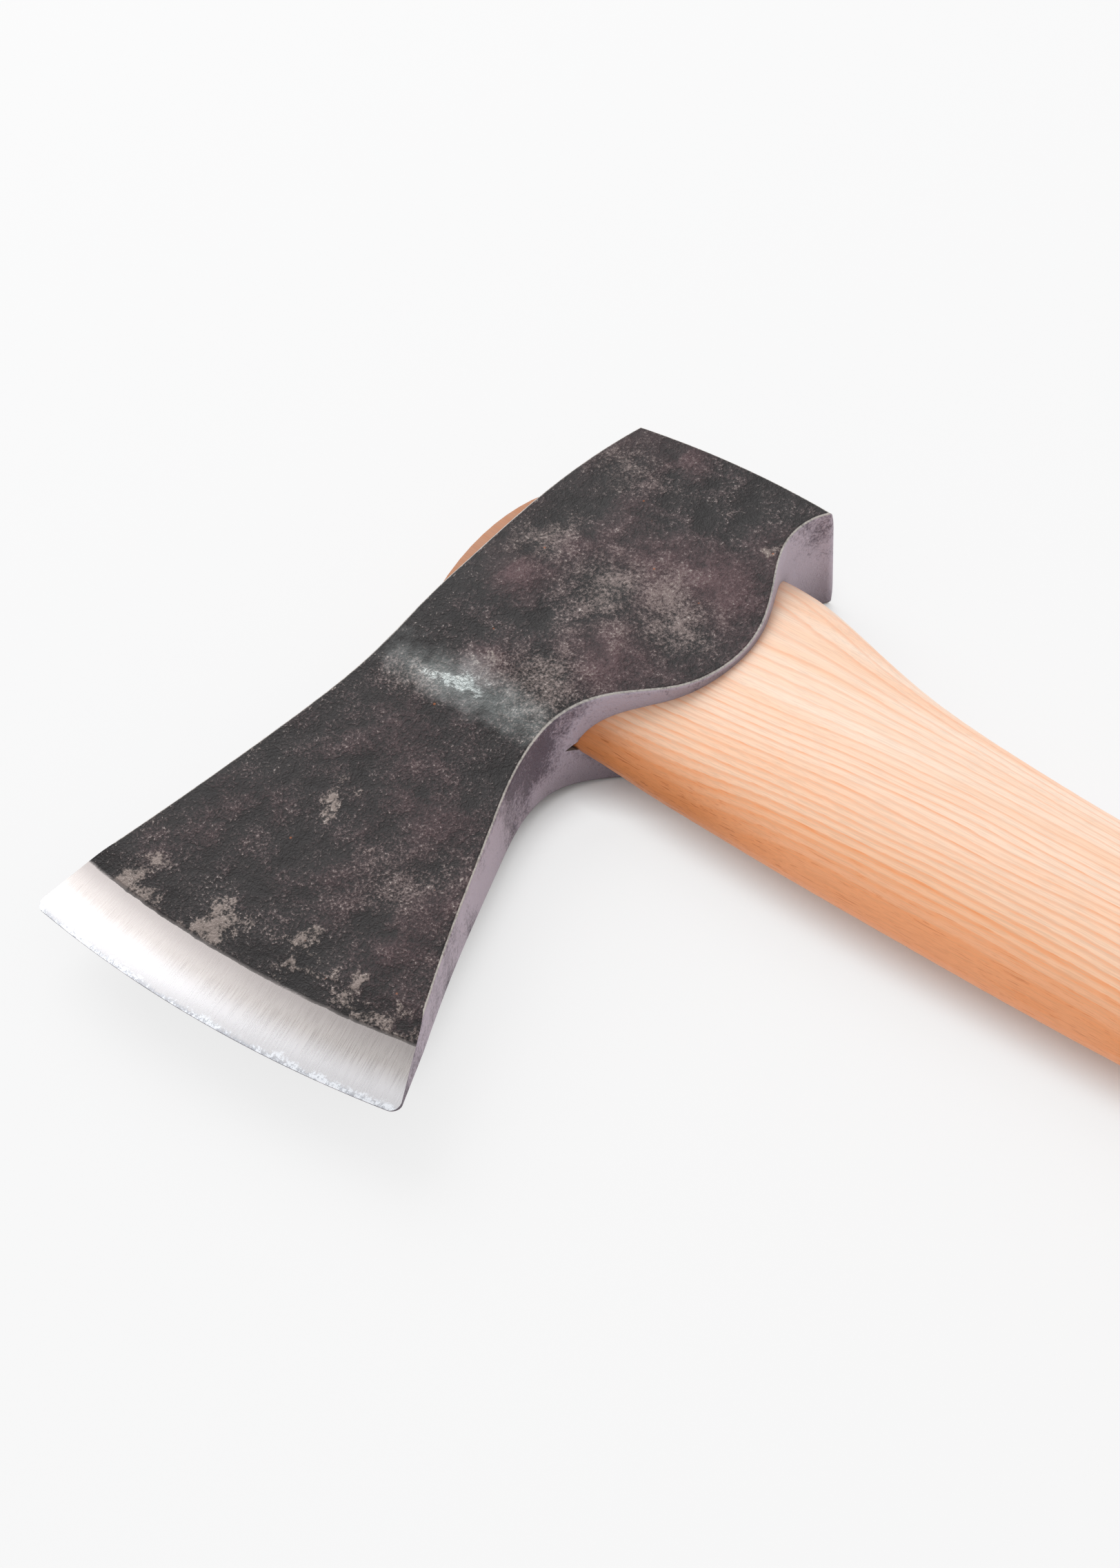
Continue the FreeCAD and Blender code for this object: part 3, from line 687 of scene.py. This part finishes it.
def addEnds(tree, look, at, colour):
    # end grain soaks up more oil
    facing = addNode(tree, "SeparateXYZ", {0: addNode(tree, "NewGeometry", out="Normal")})
    endOn = addNode(tree, "Math", {0: facing}, operation="ABSOLUTE")
    endOn = addNode(tree, "MapRange", {"Value": endOn, "From Min": 0.6, "From Max": 0.9, "To Max": 0.75})
    colour = addNode(tree, "Mix", {0: endOn, 6: colour, 7: toLinear(look["endGrain"])}, out=2,
                     data_type="RGBA")
    soaked = addNode(tree, "SeparateXYZ", {0: at["p"]})
    soaked = addNode(tree, "MapRange", {"Value": soaked, "From Min": look["soakedTo"] + 3,
                                        "From Max": look["soakedTo"], "To Max": 0.85})
    colour = addNode(tree, "Mix", {0: soaked, 6: colour, 7: toLinear(look["soaked"])}, out=2,
                     data_type="RGBA")
    # darker where the wood meets the steel: partly oil and forge dirt, partly painted shade in the corner
    corner = addNode(tree, "AmbientOcclusion", {"Distance": look["dirtAndShadeReach"] * mm}, out="AO", samples=6)
    grimeAndShade = addNode(tree, "MapRange", {"Value": corner, "From Min": 0.85, "From Max": 0.35, "To Max": 0.6})
    colour = addNode(tree, "Mix", {0: grimeAndShade, 6: colour, 7: toLinear(look["pore"])}, out=2, data_type="RGBA")
    return colour


def paintWood(name, look):
    material, tree = newMaterial(name)
    at = woodPlaces(tree, look)
    fibre = at["fibre"]
    colour, line = ringColour(tree, look, at)
    colour, poreShown = addNarrowSide(tree, look, at, colour, line)
    colour = addEnds(tree, look, at, colour)
    # single fibres are a little lighter or darker
    fade = addNode(tree, "MapRange", {"Value": fibre, "From Min": 0.35, "From Max": 0.65, "To Min": 0.88,
                                      "To Max": 1.07})
    colour = addNode(tree, "Mix", {0: 1.0, 6: colour, 7: fade}, out=2, data_type="RGBA",
                     blend_type="MULTIPLY")
    smooth, rough = look["roughness"]
    roughness = addNode(tree, "MapRange", {"Value": fibre, "To Min": smooth, "To Max": rough})
    height = addNode(tree, "Math", {0: fibre, 1: look["fibreHeight"]}, operation="MULTIPLY")
    height = addNode(tree, "Math", {0: poreShown, 1: -look["poreDepth"], 2: height},
                     operation="MULTIPLY_ADD")
    bump = addNode(tree, "Bump", {"Height": height, "Distance": mm, "Strength": 1.0})
    finishMaterial(tree, {"Base Color": colour, "Roughness": roughness, "IOR": 1.47, "Normal": bump})
    return material


nodes["haft"].material_slots[0].material = paintWood("oiled_hickory", hickory)
nodes["wooden_wedge"].material_slots[0].material = paintWood("sawn_birch", wedgeWood)
print("haft and wedge ready")


# mild steel staple, pressed and driven with a hammer: dull grey mottled with brighter grey
stapleSteel = {
    "dull": "#7d7a77", "bright": "#b5b1ac",
    "mottle": 1.5, "relief": 0.06,       # mm across, and mm high
    "roughness": (0.32, 0.52),
}


def paintStaple():
    look = stapleSteel
    material, tree = newMaterial("pressed_mild_steel")
    place = addNode(tree, "TexCoord", out="Object")
    p = addNode(tree, "VectorMath", {0: place, 3: 1000.0}, operation="SCALE")
    mottle = addNode(tree, "TexNoise", {"Vector": p, "Scale": 1 / look["mottle"], "Detail": 5.0,
                                        "Roughness": 0.65}, out="Fac")
    colour = addNode(tree, "ValToRGB", {0: mottle}, stops=[(0.35, look["dull"]), (0.65, look["bright"])])
    smooth, rough = look["roughness"]
    roughness = addNode(tree, "MapRange", {"Value": mottle, "To Min": smooth, "To Max": rough})
    height = addNode(tree, "Math", {0: mottle, 1: look["relief"]}, operation="MULTIPLY")
    bump = addNode(tree, "Bump", {"Height": height, "Distance": mm, "Strength": 1.0})
    finishMaterial(tree, {"Base Color": colour, "Metallic": 1.0, "Roughness": roughness, "Normal": bump})
    return material


nodes["three_legged_staple"].material_slots[0].material = paintStaple()
print("staple ready")
